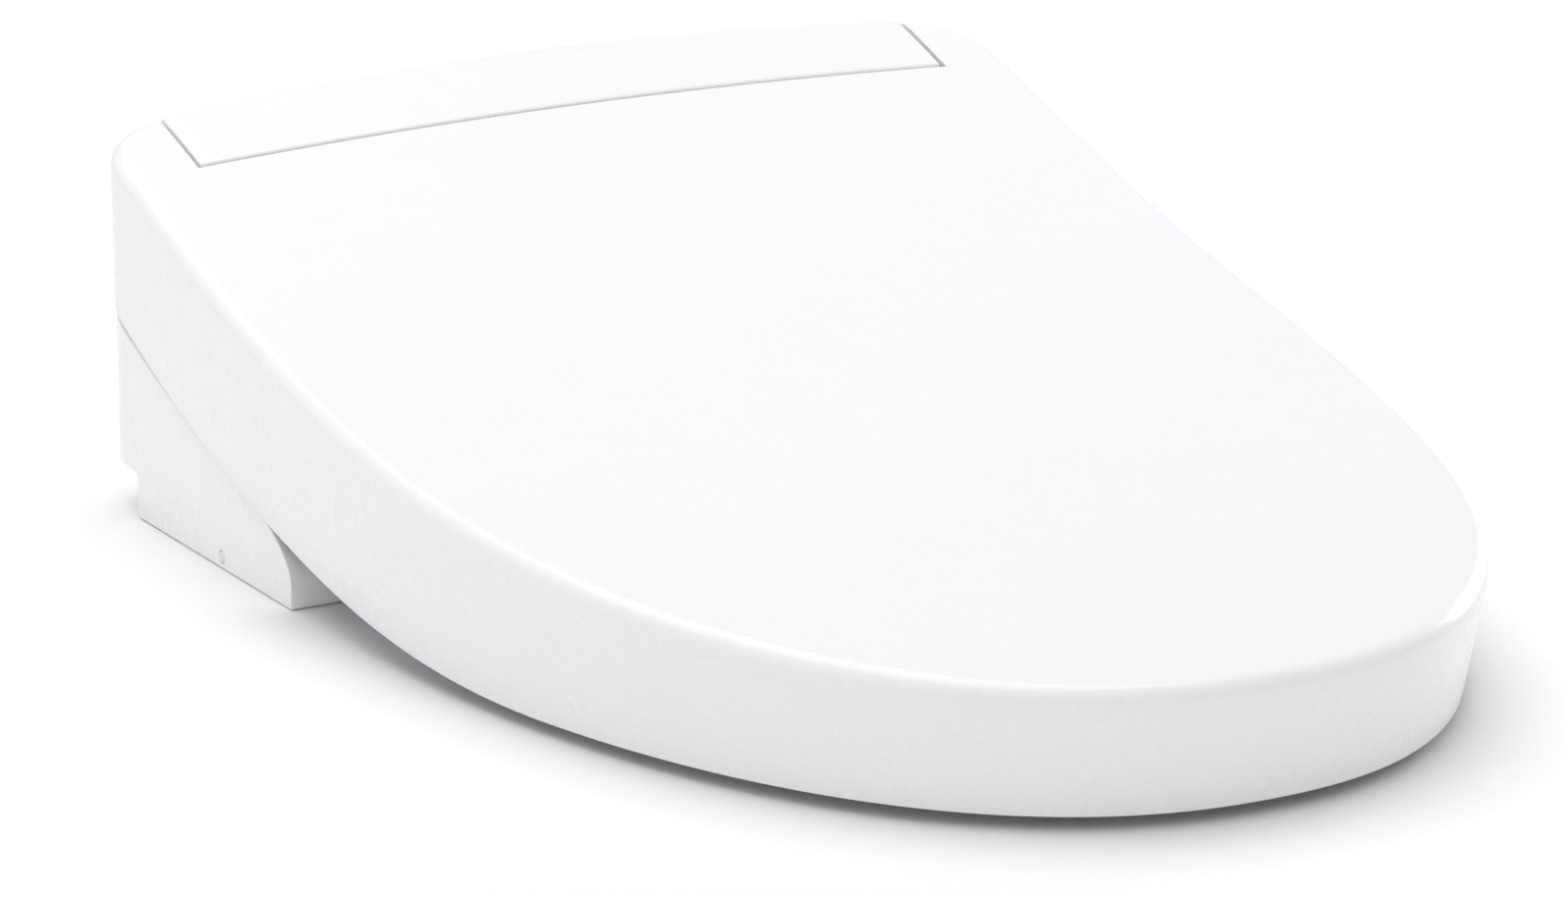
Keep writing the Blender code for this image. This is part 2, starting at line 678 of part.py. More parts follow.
def wand(axis):
    start = Vector((0, WAND_TIP_Y, wand_line(WAND_TIP_Y)))
    back = -wand_direction()
    profile = [(14.0, 0), (14.0, WAND_R - 0.6), (15.0, WAND_R)]
    profile += [(WAND_LENGTH - 1, WAND_R), (WAND_LENGTH, WAND_R - 1), (WAND_LENGTH, 0)]
    return add("wand", lathe(start, back, profile), "steel", axis)


def wand_tip(axis):
    start = Vector((0, WAND_TIP_Y, wand_line(WAND_TIP_Y)))
    back = -wand_direction()
    profile = [(0, 0), (0, 3.0), (1.2, 5.2), (3.5, WAND_R), (14.0 - GAP, WAND_R), (14.0 - GAP, 0)]
    tip = add("wand_tip", lathe(start, back, profile), "white_matte", axis)
    for along in (5.0, 8.5):
        jet = start + back * along
        boolean(tip, rod(jet + Vector((0, 0, 2.5)), (0, 0, 1), 0.7, 8, 8))
    return tip


def nozzle_guide():
    """Sleeve that the wand slides in, cut level underneath where it nears the case floor."""
    direction = wand_direction()
    start = Vector((0, 66.0, wand_line(66.0)))
    sleeve = ring_lathe(start, direction, 150.0, WAND_R + 3.4, WAND_R + 0.7, 20)
    guide = add("nozzle_guide", sleeve, "grey_plastic")
    low_z, high_z = wand_line(-72.0), wand_line(70.0)
    slot = prism([(-72.0, low_z), (70.0, high_z), (70.0, high_z + 30), (-72.0, low_z + 30)], -3.0, 3.0)
    boolean(guide, slot)
    return guide


def gate(axis):
    middle = (0, GATE_Y - GATE_WALL / 2, GATE_Z - GATE_LENGTH / 2)
    flap = box(middle, (2 * GATE_HALF, GATE_WALL, GATE_LENGTH), 0.3)
    made = add("nozzle_gate", flap, "white_gloss", axis)
    pivot = rod((-GATE_HALF, GATE_Y, GATE_Z), (1, 0, 0), PIVOT_R, 2 * GATE_HALF, 10)
    return boolean(made, pivot, "UNION")


def dryer_flap(axis):
    flap = box((DRYER_X, GATE_Y - GATE_WALL / 2, GATE_Z - 9.0), (2 * DRYER_HALF, GATE_WALL, 14.0), 0.3)
    made = add("dryer_flap", flap, "white_gloss", axis)
    pivot = rod((DRYER_X - DRYER_HALF, GATE_Y, GATE_Z - 1.0), (1, 0, 0), PIVOT_R, 2 * DRYER_HALF, 10)
    return boolean(made, pivot, "UNION")


def wheel(name, center, direction, radius, length, bore, count, slot, axis):
    """A toothed or bladed wheel: alternate points of its rim are lower."""
    direction = Vector(direction)
    side = Vector((0, 1, 0)) if abs(direction.x) > 0.5 else Vector((1, 0, 0))
    other = direction.cross(side)
    rim = []
    for i in range(count * 4):
        angle = 2 * math.pi * i / (count * 4)
        r = radius if i % 4 < 2 else radius * 0.78
        rim.append(side * (r * math.cos(angle)) + other * (r * math.sin(angle)))
    hole = [p.normalized() * bore for p in rim]
    middle = Vector(center)
    low, high = middle - direction * (length / 2), middle + direction * (length / 2)
    rings = [[low + p for p in hole], [low + p for p in rim], [high + p for p in rim], [high + p for p in hole]]
    rings.append(rings[0])
    bm = loft(rings, cap_start=False, cap_end=False)
    bmesh.ops.remove_doubles(bm, verts=bm.verts, dist=1e-4)
    return add(name, bm, slot, axis)


# ---------------------------------------------------------------- inside the body

def hose(name, points, radius=2.6):
    """A hose of evenly turned sections along a smoothed run of points."""
    path = [Vector(p) for p in points]
    smooth = []
    for i in range(len(path) - 1):
        p0, p1, p2, p3 = path[max(i - 1, 0)], path[i], path[i + 1], path[min(i + 2, len(path) - 1)]
        for k in range(4):
            t = k / 4
            bend = 2 * p0 - 5 * p1 + 4 * p2 - p3
            twist = 3 * p1 - p0 - 3 * p2 + p3
            smooth.append(0.5 * (2 * p1 + (p2 - p0) * t + bend * t**2 + twist * t**3))
    smooth.append(path[-1])
    rings = []
    for i, point in enumerate(smooth):
        along = (smooth[min(i + 1, len(smooth) - 1)] - smooth[max(i - 1, 0)]).normalized()
        side = along.cross(Vector((0.1, 0.3, 1))).normalized()
        other = along.cross(side)
        rings.append([point + side * a + other * b for a, b in circle(radius, 10)])
    return add(name, loft(rings), "rubber")


def water_parts():
    inlet_x, drain_x, rear_y = -136.0, -100.0, 54.0
    inlet = [(0, 0), (0, 7.0), (9, 7.0), (9, 9.0), (11.4, 9.0), (11.4, 6.0), (20.7, 6.0), (20.7, 0)]
    add("water_inlet", lathe((inlet_x, rear_y, 5), (0, 0, 1), inlet), "brass")
    add("inlet_valve", box((inlet_x, 44, 39), (26, 32, 25), 1.5), "white_matte")
    add("water_heater", box((-95, -18, 23), (70, 66, 28), 3.0), "white_matte")
    add("flow_valve", box((-42, -5, 22), (22, 34, 24), 2.0), "grey_plastic")
    motor = [(0, 0), (0, 10.0), (14, 10.0), (16, 8.0), (16, 0)]
    add("flow_motor", lathe((-42, -5, 34.4), (0, 0, 1), motor), "dark_plastic")
    pump = [(0, 0), (0, 9.0), (14, 9.0), (15, 12.0), (46, 12.0), (48, 10.0), (48, 0)]
    add("pump", lathe((-112, 44, 68), (1, 0, 0), pump), "dark_plastic")
    breaker = [(0, 0), (0, 5.0), (4, 8.0), (22, 8.0), (26, 4.0), (26, 0)]
    add("vacuum_breaker", lathe((-30, 45, 58), (0, 0, 1), breaker), "white_matte")
    hose("inlet_hose", [(inlet_x, 40, 52), (inlet_x, 40, 60), (-128, 43, 68), (-112.5, 44, 68)])
    hose("breaker_hose", [(-63.5, 44, 68), (-54, 44.5, 70), (-46, 45, 71), (-38.6, 45, 71)])
    drain = axis_empty("drain_axis", (drain_x, rear_y, 0))
    knob = wheel("drain_plug", (drain_x, rear_y, 10.5), (0, 0, 1), 10.0, 10.0, 2.0, 8, "grey_plastic", drain)
    stem = [(0, 0), (0, 3.4), (22, 3.4), (22, 0)]
    boolean(knob, lathe((drain_x, rear_y, 8), (0, 0, 1), stem), "UNION")
    return [(inlet_x, rear_y, 7.0), (drain_x, rear_y, 3.4)]


def air_parts():
    blower, fan = Vector((84, 3, 8)), Vector((126, -52, 8))
    cup = [(0, 0), (0, 26), (22, 26), (22, 24), (2, 24), (2, 0)]
    housing = add("dryer_housing", lathe(blower, (0, 0, 1), cup, 28), "grey_plastic")
    outlet = box((blower.x - 18, blower.y - 21, blower.z + 11), (18, 12, 12))
    boolean(housing, outlet)
    axis = axis_empty("dryer_axis", blower)
    wheel("dryer_impeller", blower + Vector((0, 0, 11)), (0, 0, 1), 20.5, 14, 3.2, 12, "dark_plastic", axis)
    motor = [(0, 0), (0, 2.8), (20, 2.8), (20, 14), (36, 14), (38, 12), (38, 0)]
    add("dryer_motor", lathe(blower + Vector((0, 0, 3)), (0, 0, 1), motor, 20), "steel")
    duct_y = (-83.0, blower.y - 28.0)
    rings = []
    for y, grow in ((duct_y[0], 0), (duct_y[0], 1.5), (duct_y[1], 1.5), (duct_y[1], 0), (duct_y[0], 0)):
        a, c = 15.5 + grow, 6.0 + grow
        corners = ((-1, -1), (1, -1), (1, 1), (-1, 1))
        rings.append([(DRYER_X + side * a, y, 20.5 + up * c) for side, up in corners])
    duct = loft(rings, cap_start=False, cap_end=False)
    bmesh.ops.remove_doubles(duct, verts=duct.verts, dist=1e-4)
    add("dryer_duct", duct, "grey_plastic")
    add("dryer_heater", box((DRYER_X, -50, 20.5), (29, 14, 10)), "heater_foil")
    cup = [(0, 0), (0, 19), (18, 19), (18, 17.2), (2, 17.2), (2, 0)]
    add("deodorizer_housing", lathe(fan, (0, 0, 1), cup, 24), "grey_plastic")
    axis = axis_empty("deodorizer_axis", fan)
    wheel("deodorizer_fan", fan + Vector((0, 0, 10)), (0, 0, 1), 14.5, 10, 2.4, 8, "dark_plastic", axis)
    motor = [(0, 0), (0, 2.0), (16, 2.0), (16, 9), (22, 9), (22, 0)]
    add("deodorizer_motor", lathe(fan + Vector((0, 0, 3)), (0, 0, 1), motor), "steel")
    add("carbon_filter", box((fan.x + 4, fan.y + 38, 17), (34, 30, 18), 1.0), "dark_plastic")


def electric_parts():
    add("control_board", box((92, 44, 66), (100, 44, 1.6)), "board_green")
    add("power_board", box((-96, 40, 90), (84, 40, 1.6)), "board_green")
    add("transformer", box((108, 50, 40), (36, 24, 26), 1.0), "steel")
    gland = [(0, 0), (0, 9.0), (9.0, 9.0), (9.0, 7.0), (15.0, 7.0), (15.0, 5.0), (0.0, 5.0)]
    rings = []
    for along, radius in gland[1:] + gland[1:2]:
        rings.append([(140 + radius * a, REAR_Y - 16.0 + along, 56 + radius * b) for a, b in circle(1.0, 16)])
    bm = loft(rings, cap_start=False, cap_end=False)
    bmesh.ops.remove_doubles(bm, verts=bm.verts, dist=1e-4)
    add("power_inlet", bm, "dark_plastic")
    normal = Vector((0, -0.46, 0.888))
    spot = Vector((WINDOW_X, WINDOW_Y, hump_top(WINDOW_Y)))
    lens = [(0, 0), (0, WINDOW_R), (2.2, WINDOW_R), (2.8, WINDOW_R - 0.6), (2.8, 0)]
    add("sensor_window", lathe(spot - normal * 2.0, normal, lens, 24), "smoke_window")


def push_button(name, y, z, radius, depth, stand, slot, axis):
    start = BODY_HALF + stand
    profile = [(0, 0), (0, radius - 0.6), (0.6, radius), (depth, radius), (depth, 0)]
    return add(name, lathe((start, y, z), (-1, 0, 0), profile, 18), slot, axis)


def spray_parts():
    wand_axis = axis_empty("wand_axis", (0, WAND_TIP_Y, wand_line(WAND_TIP_Y)), (WAND_SLOPE, 0, 0))
    wand(wand_axis)
    wand_tip(wand_axis)
    nozzle_guide()
    gate(axis_empty("gate_axis", (0, GATE_Y, GATE_Z)))
    dryer_flap(axis_empty("dryer_flap_axis", (DRYER_X, GATE_Y, GATE_Z - 1.0)))
    over = WAND_R + PINION_R + 0.5
    place = Vector((0, 40.0 - over * math.sin(WAND_SLOPE), wand_line(40.0) + over * math.cos(WAND_SLOPE)))
    axis = axis_empty("pinion_axis", place)
    wheel("nozzle_pinion", place, (1, 0, 0), PINION_R, 5.0, 1.8, 12, "white_matte", axis)
    motor = [(0, 0), (0, 1.5), (14.0, 1.5), (14.0, 11.0), (32, 11.0), (32, 0)]
    add("nozzle_motor", lathe(place - Vector((3.5, 0, 0)), (1, 0, 0), motor, 18), "steel")


def main():
    clear_scene()
    case = lower_case()
    cover = upper_case()
    rear_top_panel()
    mounting_plate()
    seat_axis = axis_empty("seat_hinge_axis", (0, HINGE_Y, HINGE_Z))
    lid_axis = axis_empty("lid_hinge_axis", (0, HINGE_Y, HINGE_Z))
    lid_shell(lid_axis)
    seat_top(seat_axis)
    seat_bottom(seat_axis)
    seat_heater(seat_axis)
    for sign, side in ((-1, "left"), (1, "right")):
        lid_hinge_bracket(sign, f"lid_hinge_bracket_{side}", lid_axis)
        hinge_bush(f"hinge_bush_{side}", sign, seat_axis)
        hinge_pin(f"hinge_pin_{side}", sign)
        seat_bumper(f"seat_bumper_front_{side}", sign * 62, REAR_Y - DEPTH + BUMPER_FRONT, seat_axis)
        seat_bumper(f"seat_bumper_rear_{side}", sign * (WIDTH / 2 - BUMPER_SIDE), -215, seat_axis)
    damper("lid_damper", 1)
    damper("seat_damper", -1)
    spray_parts()
    holes = water_parts()
    air_parts()
    electric_parts()
    for x, y, radius in holes:
        boolean(case, rod((x, y, 10), (0, 0, 1), radius + GAP, 30))
    boolean(case, rod((140, REAR_Y - 10, 56), (0, 1, 0), 7.0 + GAP, 20))
    plug_y, plug_z, plug_r = -34.5, 4.2, 2.3
    plug = [(0, 0), (0, plug_r - 0.4), (0.4, plug_r), (2.6, plug_r), (2.6, 0)]
    add("side_plug", lathe((-BODY_HALF - 0.3, plug_y, plug_z), (1, 0, 0), plug, 14), "white_matte")
    boolean(case, rod((-BODY_HALF - 2, plug_y, plug_z), (1, 0, 0), plug_r + GAP, 9, 14))
    for x, half in ((0.0, GATE_HALF), (DRYER_X, DRYER_HALF)):
        boolean(case, box((x, BODY_FRONT_Y, 29.5), (2 * half + 1.2, 30, 40)))
    for name, y, z, radius, depth, stand, slot in (
        ("power_button", -22.0, 14.0, 5.0, 7.0, 1.0, "grey_plastic"),
        ("rinse_button", -44.0, 14.0, 5.0, 7.0, 1.0, "white_matte"),
        ("release_button", -70.0, 9.0, 6.0, 10.0, 1.0, "white_matte"),
    ):
        axis = axis_empty(f"{name}_axis", (BODY_HALF, y, z))
        push_button(name, y, z, radius, depth, stand, slot, axis)
        boolean(case, rod((BODY_HALF + 3, y, z), (-1, 0, 0), radius + GAP, 9, 18))
    latch = box((BODY_HALF - 16.0, -70.0, 9.0), (13, 8, 4), 0.5)
    add("release_latch", latch, "steel", bpy.data.objects["release_button_axis"])
    for number, (x, y) in enumerate(((-144, -80), (144, -80), (-144, 26), (144, 26)), 1):
        screw = [(0, 0), (0, 3.0), (1.0, 3.4), (1.9, 3.4), (1.9, 1.6), (12, 1.6), (12, 0)]
        add(f"case_screw_{number}", lathe((x, y, 0.8), (0, 0, 1), screw, 12), "steel")
        boolean(case, rod((x, y, 0), (0, 0, 1), 1.9, 9, 12))
    start = (WINDOW_X, WINDOW_Y + 4, hump_top(WINDOW_Y) - 8)
    window = rod(start, (0, -0.46, 0.888), WINDOW_R + GAP, 20, 24)
    boolean(cover, window)


main()
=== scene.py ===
"""Looks of the electric bidet seat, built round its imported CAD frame: finer meshes for the lid,
panel, seat and casings, procedural materials for every piece, a pale studio and the camera.
Lengths in the shape functions are millimetres in the frame's axes; make() turns them into metres."""

import json
import math

import bmesh
import bpy
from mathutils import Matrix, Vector

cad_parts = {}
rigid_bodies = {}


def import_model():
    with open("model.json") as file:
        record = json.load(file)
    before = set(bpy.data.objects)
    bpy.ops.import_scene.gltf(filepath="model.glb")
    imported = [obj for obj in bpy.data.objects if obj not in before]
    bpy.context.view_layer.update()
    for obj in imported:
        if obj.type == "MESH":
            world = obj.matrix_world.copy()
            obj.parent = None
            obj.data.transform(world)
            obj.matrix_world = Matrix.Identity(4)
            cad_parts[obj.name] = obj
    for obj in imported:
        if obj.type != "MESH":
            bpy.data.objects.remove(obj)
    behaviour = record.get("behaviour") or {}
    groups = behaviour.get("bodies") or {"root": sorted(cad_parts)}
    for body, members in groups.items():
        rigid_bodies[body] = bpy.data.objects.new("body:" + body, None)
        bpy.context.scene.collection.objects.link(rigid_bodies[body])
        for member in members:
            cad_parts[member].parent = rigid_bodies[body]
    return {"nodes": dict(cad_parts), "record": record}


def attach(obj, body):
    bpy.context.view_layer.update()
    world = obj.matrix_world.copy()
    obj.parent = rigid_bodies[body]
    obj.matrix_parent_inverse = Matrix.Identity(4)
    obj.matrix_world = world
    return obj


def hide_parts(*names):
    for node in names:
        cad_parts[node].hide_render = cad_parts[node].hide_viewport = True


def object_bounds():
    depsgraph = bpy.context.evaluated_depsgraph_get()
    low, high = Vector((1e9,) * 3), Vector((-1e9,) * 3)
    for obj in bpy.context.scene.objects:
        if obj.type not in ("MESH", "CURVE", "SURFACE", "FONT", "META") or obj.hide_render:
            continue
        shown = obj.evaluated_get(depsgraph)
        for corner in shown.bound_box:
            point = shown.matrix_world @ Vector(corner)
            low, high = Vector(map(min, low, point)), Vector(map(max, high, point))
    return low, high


for startup in list(bpy.data.objects):
    bpy.data.objects.remove(startup)
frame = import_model()
cad_box = [list(corner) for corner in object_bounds()]

MM = 0.001
WIDTH = 383.0
DEPTH = 531.0
REAR_Y = 75.0
WIDEST_D = 198.0
NOSE_POWER = 2.19
REAR_TAPER = 5.1
CORNER_R = 28.0
RIDGE = (150.0, 72.7, 62.2, 51.2)
SIDE_FALL = 5.0
REAR_FALL = 7.5
FALL_FADE = 0.04
EDGE_R = 6.0
REAR_EDGE_R = 4.0
LID_WALL = 3.0
HEM_FRONT = 4.5
HEM_REAR = 84.0
HEM_RISE_D = 334.0
HEM_LIP = 0.7
NOSE_DRAFT = 8.5
REAR_DRAFT = 0.3
HINGE_Y = 64.0
HINGE_Z = 121.0
PANEL_HALF = 157.7
PANEL_D = 36.0
PANEL_WALL = 3.0
PANEL_GAP = 1.6
PANEL_DEPTH = 9.0
PANEL_LIP = 1.3
COVER_REAR_Z = 129.0
GAP = 0.3
SHARP_ANGLE = 35
CUT_SIDE = 200
CUT_TOP = 120


# ---------------------------------------------------------------- mesh helpers

def smooth(mesh, sharp=SHARP_ANGLE):
    """Shade smooth, keeping the edges that turn by more than this many degrees."""
    mesh.shade_smooth()
    mesh.set_sharp_from_angle(angle=math.radians(sharp))


def make(name, bm, body, slot, replaces=None):
    """Turn a mesh in millimetres into a piece that rides on a body."""
    bmesh.ops.scale(bm, vec=(MM, MM, MM), verts=bm.verts)
    bmesh.ops.recalc_face_normals(bm, faces=bm.faces)
    if bm.calc_volume(signed=True) < 0:
        bmesh.ops.reverse_faces(bm, faces=bm.faces)
    mesh = bpy.data.meshes.new(name)
    bm.to_mesh(mesh)
    bm.free()
    smooth(mesh)
    obj = bpy.data.objects.new(name, mesh)
    bpy.context.scene.collection.objects.link(obj)
    if body:
        obj.data.materials.append(MATERIALS[slot])
        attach(obj, body)
    if replaces:
        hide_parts(replaces)
    return obj


def cut(obj, shapes, operation="DIFFERENCE"):
    """Boolean each mesh with the piece and keep only the result."""
    for bm in shapes:
        tool = make("tool", bm, None, None)
        modifier = obj.modifiers.new("cut", "BOOLEAN")
        modifier.operation = operation
        modifier.solver = "EXACT"
        modifier.object = tool
        settle(obj)
        bpy.data.objects.remove(tool)
    return obj


def settle(obj):
    """Apply every modifier to the mesh."""
    graph = bpy.context.evaluated_depsgraph_get()
    graph.update()
    mesh = bpy.data.meshes.new_from_object(obj.evaluated_get(graph))
    old = obj.data
    obj.modifiers.clear()
    obj.data = mesh
    bpy.data.meshes.remove(old)
    return obj


def soften(obj, width, segments=3, angle=30):
    """Round the sharp edges of a piece."""
    modifier = obj.modifiers.new("soften", "BEVEL")
    modifier.width = width * MM
    modifier.segments = segments
    modifier.limit_method = "ANGLE"
    modifier.angle_limit = math.radians(angle)
    settle(obj)
    smooth(obj.data)
    return obj


def loft(rings, cap_start=True, cap_end=True):
    bm = bmesh.new()
    rows = [[bm.verts.new(point) for point in ring] for ring in rings]
    for first, second in zip(rows, rows[1:]):
        count = max(len(first), len(second))
        for i in range(count):
            j = (i + 1) % count
            corners = [
                first[i % len(first)], first[j % len(first)],
                second[j % len(second)], second[i % len(second)],
            ]
            bm.faces.new(list(dict.fromkeys(corners)))
    if cap_start and len(rows[0]) > 2:
        bm.faces.new(rows[0][::-1])
    if cap_end and len(rows[-1]) > 2:
        bm.faces.new(rows[-1])
    return bm


def prism(outline, low, high, axis="X"):
    place = {
        "X": lambda a, b, t: (t, a, b),
        "Y": lambda a, b, t: (a, t, b),
        "Z": lambda a, b, t: (a, b, t),
    }[axis]
    return loft([[place(a, b, t) for a, b in outline] for t in (low, high)])


def box(center, size):
    (x, y, z), (a, b, c) = center, size
    back, front, low, high = y + b / 2, y - b / 2, z - c / 2, z + c / 2
    outline = [(front, low), (back, low), (back, high), (front, high)]
    return prism(outline, x - a / 2, x + a / 2)


def circle(radius, count):
    return [
        (radius * math.cos(2 * math.pi * i / count), radius * math.sin(2 * math.pi * i / count))
        for i in range(count)
    ]


def rod(base, direction, radius, length, count=32):
    """A plain round bar, used as a cutter."""
    direction = Vector(direction).normalized()
    side = direction.orthogonal().normalized()
    other = direction.cross(side)
    rings = []
    for along in (0.0, length):
        middle = Vector(base) + direction * along
        rings.append([middle + side * a + other * b for a, b in circle(radius, count)])
    return loft(rings)


# ---------------------------------------------------------------- the outer surface

def half_width(d):
    if d >= WIDEST_D:
        share = min(1.0, (d - WIDEST_D) / (DEPTH - WIDEST_D))
        return WIDTH / 2 * (1 - share**NOSE_POWER) ** (1 / NOSE_POWER)
    return WIDTH / 2 - REAR_TAPER * ((WIDEST_D - d) / WIDEST_D) ** 2


def hem_height(y):
    rise = max(0.0, 1 - (REAR_Y - y) / HEM_RISE_D)
    return HEM_FRONT + (HEM_REAR - HEM_FRONT) * rise**2


def top_height(x, y):
    s = min(1.0, max(0.0, (REAR_Y - y) / DEPTH))
    a, b, c, d = RIDGE
    ridge = a * (1 - s) ** 3 + 3 * b * s * (1 - s) ** 2 + 3 * c * s * s * (1 - s) + d * s**3
    fall = SIDE_FALL + REAR_FALL * math.exp(-s / FALL_FADE)
    return ridge - fall * (x / (WIDTH / 2)) ** 2


def outline_half(nose_points, side_points, rear_points=12, corner_points=14):
    corner_x = half_width(CORNER_R) - CORNER_R
    corner_y = REAR_Y - CORNER_R
    points = [(corner_x * i / rear_points, REAR_Y) for i in range(rear_points)]
    for i in range(corner_points + 1):
        angle = math.pi / 2 * (1 - i / corner_points)
        points.append((corner_x + CORNER_R * math.cos(angle), corner_y + CORNER_R * math.sin(angle)))
    first_d = REAR_Y - corner_y
    for i in range(1, side_points + 1):
        d = first_d + (WIDEST_D - first_d) * i / side_points
        points.append((half_width(d), REAR_Y - d))
    for i in range(1, nose_points + 1):
        d = WIDEST_D + (DEPTH - WIDEST_D) * math.sin(math.pi / 2 * i / nose_points)
        points.append((half_width(d), REAR_Y - d))
    return points


def inset(points, amount):
    moved = []
    for i, (x, y) in enumerate(points):
        (ax, ay), (bx, by) = points[i - 1], points[(i + 1) % len(points)]
        length = math.hypot(bx - ax, by - ay)
        distance = amount(y) if callable(amount) else amount
        moved.append((x + distance * (by - ay) / length, y - distance * (bx - ax) / length))
    return moved


def mirrored(right):
    return right + [(-x, y) for x, y in right[-2:0:-1]]


def skirt_draft(y):
    s = (REAR_Y - y) / DEPTH
    return REAR_DRAFT + (NOSE_DRAFT - REAR_DRAFT) * s


# ---------------------------------------------------------------- materials

def new_material(name, color, roughness, metallic=0.0, coat=0.0):
    made = bpy.data.materials.new(name)
    made.use_nodes = True
    shader = made.node_tree.nodes["Principled BSDF"]
    shader.inputs["Base Color"].default_value = (*color, 1.0)
    shader.inputs["Roughness"].default_value = roughness
    shader.inputs["Metallic"].default_value = metallic
    shader.inputs["Specular IOR Level"].default_value = 0.35
    shader.inputs["Coat Weight"].default_value = coat
    shader.inputs["Coat Roughness"].default_value = 0.16
    return made, made.node_tree, shader


def noise(tree, scale, detail=2.0, stretch=(1, 1, 1)):
    """Noise in the object's own place, as a factor from 0 to 1."""
    place = tree.nodes.new("ShaderNodeTexCoord")
    mapping = tree.nodes.new("ShaderNodeMapping")
    mapping.inputs["Scale"].default_value = stretch
    texture = tree.nodes.new("ShaderNodeTexNoise")
    texture.inputs["Scale"].default_value = scale
    texture.inputs["Detail"].default_value = detail
    tree.links.new(place.outputs["Object"], mapping.inputs["Vector"])
    tree.links.new(mapping.outputs["Vector"], texture.inputs["Vector"])
    return texture.outputs["Fac"]


def spread(tree, factor, low, high):
    node = tree.nodes.new("ShaderNodeMapRange")
    node.inputs["From Min"].default_value = 0.3
    node.inputs["From Max"].default_value = 0.7
    node.inputs["To Min"].default_value = low
    node.inputs["To Max"].default_value = high
    tree.links.new(factor, node.inputs["Value"])
    return node.outputs["Result"]


def tint(tree, shader, factor, first, second):
    node = tree.nodes.new("ShaderNodeMix")
    node.data_type = "RGBA"
    node.inputs["A"].default_value = (*first, 1.0)
    node.inputs["B"].default_value = (*second, 1.0)
    tree.links.new(factor, node.inputs["Factor"])
    tree.links.new(node.outputs["Result"], shader.inputs["Base Color"])


def bump(tree, shader, factor, strength, distance):
    node = tree.nodes.new("ShaderNodeBump")
    node.inputs["Strength"].default_value = strength
    node.inputs["Distance"].default_value = distance
    tree.links.new(factor, node.inputs["Height"])
    tree.links.new(node.outputs["Normal"], shader.inputs["Normal"])


def plastic(name, color, roughness, coat=0.0, grain=900.0, relief=0.05, shade=0.97):
    """Moulded plastic: a slow change of tone, slightly uneven gloss and a fine moulded grain."""
    made, tree, shader = new_material(name, color, roughness, 0.0, coat)
    slow = noise(tree, 7.0)
    tint(tree, shader, spread(tree, slow, 0.0, 1.0), color, tuple(c * shade for c in color))
    fine = noise(tree, grain, 3.0)
    gloss = spread(tree, noise(tree, 60.0), roughness * 0.85, roughness * 1.15)
    tree.links.new(gloss, shader.inputs["Roughness"])
    bump(tree, shader, fine, relief, 0.0001)
    return made


def metal(name, color, roughness, stretch=(1, 40, 1)):
    """Metal with drawn or brushed streaks."""
    made, tree, shader = new_material(name, color, roughness, 1.0)
    streaks = noise(tree, 90.0, 4.0, stretch)
    tint(tree, shader, spread(tree, streaks, 0.0, 1.0), color, tuple(c * 0.86 for c in color))
    tree.links.new(spread(tree, streaks, roughness * 0.75, roughness * 1.3), shader.inputs["Roughness"])
    bump(tree, shader, streaks, 0.12, 0.0001)
    return made


def circuit_board(name):
    """Solder-masked board: tracks and pads under a green lacquer."""
    made, tree, shader = new_material(name, (0.02, 0.16, 0.07), 0.35, 0.0, 0.3)
    place = tree.nodes.new("ShaderNodeTexCoord")
    brick = tree.nodes.new("ShaderNodeTexBrick")
    brick.inputs["Scale"].default_value = 90.0
    brick.inputs["Mortar Size"].default_value = 0.03
    brick.inputs["Color1"].default_value = (0.02, 0.15, 0.07, 1)
    brick.inputs["Color2"].default_value = (0.03, 0.20, 0.09, 1)
    brick.inputs["Mortar"].default_value = (0.10, 0.34, 0.16, 1)
    tree.links.new(place.outputs["Object"], brick.inputs["Vector"])
    tree.links.new(brick.outputs["Color"], shader.inputs["Base Color"])
    tree.links.new(spread(tree, noise(tree, 200.0), 0.28, 0.42), shader.inputs["Roughness"])
    bump(tree, shader, brick.outputs["Fac"], 0.3, 0.0001)
    return made


MATERIALS = {
    "white_gloss": plastic("white_gloss", (0.912, 0.900, 0.918), 0.26, coat=0.15, relief=0.006, shade=0.992),
    "white_matte": plastic("white_matte", (0.78, 0.78, 0.79), 0.42, relief=0.1),
    "grey_plastic": plastic("grey_plastic", (0.40, 0.41, 0.43), 0.48, relief=0.16, shade=0.93),
    "dark_plastic": plastic("dark_plastic", (0.045, 0.046, 0.05), 0.5, relief=0.2, shade=0.8),
    "steel": metal("steel", (0.60, 0.60, 0.61), 0.3),
    "brass": metal("brass", (0.72, 0.52, 0.24), 0.32, (20, 20, 1)),
    "rubber": plastic("rubber", (0.035, 0.035, 0.037), 0.75, relief=0.35, shade=0.8),
    "board_green": circuit_board("board_green"),
    "heater_foil": metal("heater_foil", (0.75, 0.75, 0.76), 0.36, (3, 3, 3)),
    "smoke_window": plastic("smoke_window", (0.03, 0.03, 0.036), 0.12, coat=0.6, relief=0.01),
}


# ---------------------------------------------------------------- lid

